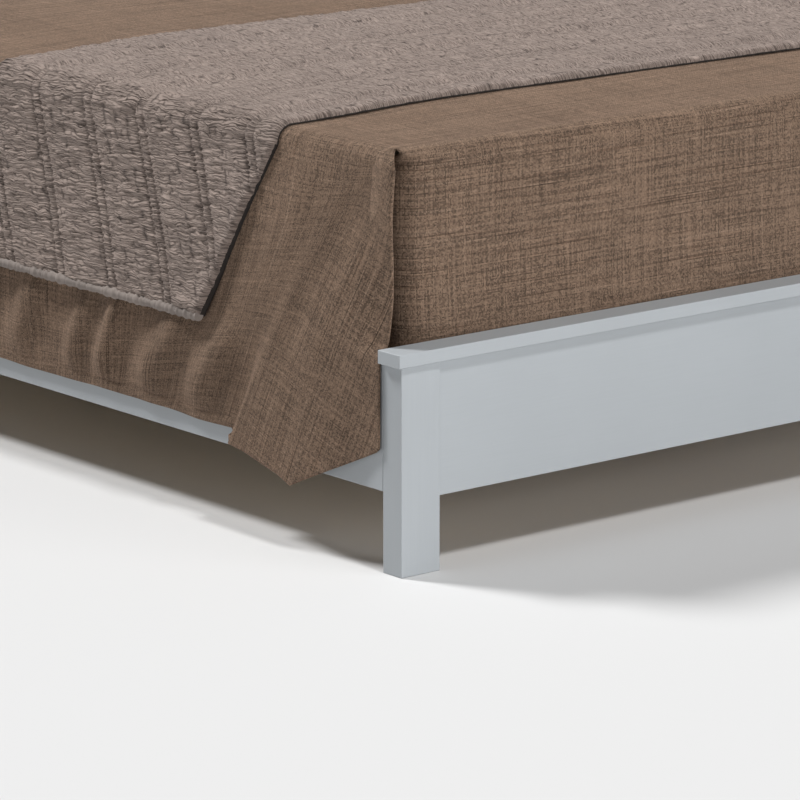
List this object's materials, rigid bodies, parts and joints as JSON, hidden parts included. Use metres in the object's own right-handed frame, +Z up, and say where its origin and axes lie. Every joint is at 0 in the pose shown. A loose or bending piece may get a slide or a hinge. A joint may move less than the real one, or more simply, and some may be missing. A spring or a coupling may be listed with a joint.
{
  "type": "storage platform bed",
  "caption": "Painted wooden bed with a low capped footboard and a headboard; a slatted platform with mattress, bedspread and quilt lifts on gas struts over a storage well.",
  "frame": {"origin": "on the floor, under the middle of the bed's outline", "axes": "+Z up, +Y from foot to head, +X to the right of someone who stands at the foot and looks at the headboard"},
  "size_m": [1.656, 2.1706, 1.18],
  "materials": {
    "painted_wood": "satin cool-grey paint",
    "bare_wood": "planed softwood",
    "floor_board": "thin plywood",
    "slat_wood": "bent laminated beech",
    "black_steel": "black powder coat",
    "zinc_steel": "zinc plate",
    "rod_chrome": "ground chrome",
    "black_nylon": "moulded nylon",
    "webbing": "woven webbing",
    "mattress_ticking": "quilted knit ticking",
    "linen": "slubby linen weave",
    "quilting": "crinkled quilted cotton"
  },
  "bodies": {
    "frame": {"foot_leg_left": "painted_wood", "foot_leg_right": "painted_wood", "foot_panel": "painted_wood", "foot_cap": "painted_wood", "head_post_left": "painted_wood", "head_post_right": "painted_wood", "head_panel": "painted_wood", "head_cap": "painted_wood", "side_rail_left": "painted_wood", "side_rail_right": "painted_wood", "foot_rest_rail": "bare_wood", "foot_cleat": "bare_wood", "head_cleat": "bare_wood", "rail_ledger_left": "bare_wood", "rail_ledger_right": "bare_wood", "centre_beam": "bare_wood", "centre_leg_foot": "bare_wood", "centre_leg_head": "bare_wood", "floor_board_foot": "floor_board", "floor_board_middle": "floor_board", "floor_board_head": "floor_board", "lift_base_plate_left": "black_steel", "lift_base_plate_right": "black_steel", "corner_brackets": "zinc_steel", "bracket_screws": "zinc_steel", "base_pivot_pins": "zinc_steel", "centre_leg_glides": "black_nylon"},
    "rear_arms": {"rear_arm_left": "black_steel", "rear_arm_right": "black_steel"},
    "platform": {"slats": "slat_wood", "platform_side_left": "black_steel", "platform_side_right": "black_steel", "platform_foot_bar": "black_steel", "platform_head_bar": "black_steel", "platform_spine": "black_steel", "mattress_retainer": "black_steel", "platform_plate_left": "black_steel", "platform_plate_right": "black_steel", "platform_pivot_pins": "zinc_steel", "slat_holders": "black_nylon", "pull_strap": "webbing", "mattress": "mattress_ticking", "bedspread": "linen", "quilt": "quilting"},
    "front_arms": {"front_arm_left": "black_steel", "front_arm_right": "black_steel"},
    "strut_cylinders": {"strut_cylinder_left": "black_steel", "strut_cylinder_right": "black_steel"},
    "strut_rods": {"strut_rod_left": "rod_chrome", "strut_rod_right": "rod_chrome"}
  },
  "joints": [
    {"name": "platform_lift", "type": "hinge", "parent": "frame", "child": "rear_arms", "pos_m": [0, 0.36025, 0.174], "axis": [1, 0, 0], "range_deg": [0, 75]},
    {"name": "platform_tilt", "type": "hinge", "parent": "rear_arms", "child": "platform", "pos_m": [0, 0.81725, 0.181], "axis": [1, 0, 0], "range_deg": [-99.5, 0]},
    {"name": "front_arm_swing", "type": "hinge", "parent": "frame", "child": "front_arms", "pos_m": [0, 0.50925, 0.284], "axis": [1, 0, 0], "range_deg": [0, 83.6]},
    {"name": "strut_swing", "type": "hinge", "parent": "frame", "child": "strut_cylinders", "pos_m": [0, 0.91325, 0.207], "axis": [1, 0, 0], "range_deg": [0, 3.2]},
    {"name": "strut_extend", "type": "slide", "parent": "strut_cylinders", "child": "strut_rods", "axis": [0, -0.9978, 0.0665], "range_m": [0, 0.0864]}
  ],
  "couplings": [
    {"joint": "platform_tilt", "follows": "platform_lift", "ratio": -1.32},
    {"joint": "front_arm_swing", "follows": "platform_lift", "ratio": 1.108},
    {"joint": "strut_swing", "follows": "platform_lift", "ratio": 0.036306},
    {"joint": "strut_extend", "follows": "platform_lift", "m_per_rad": 0.065227}
  ]
}
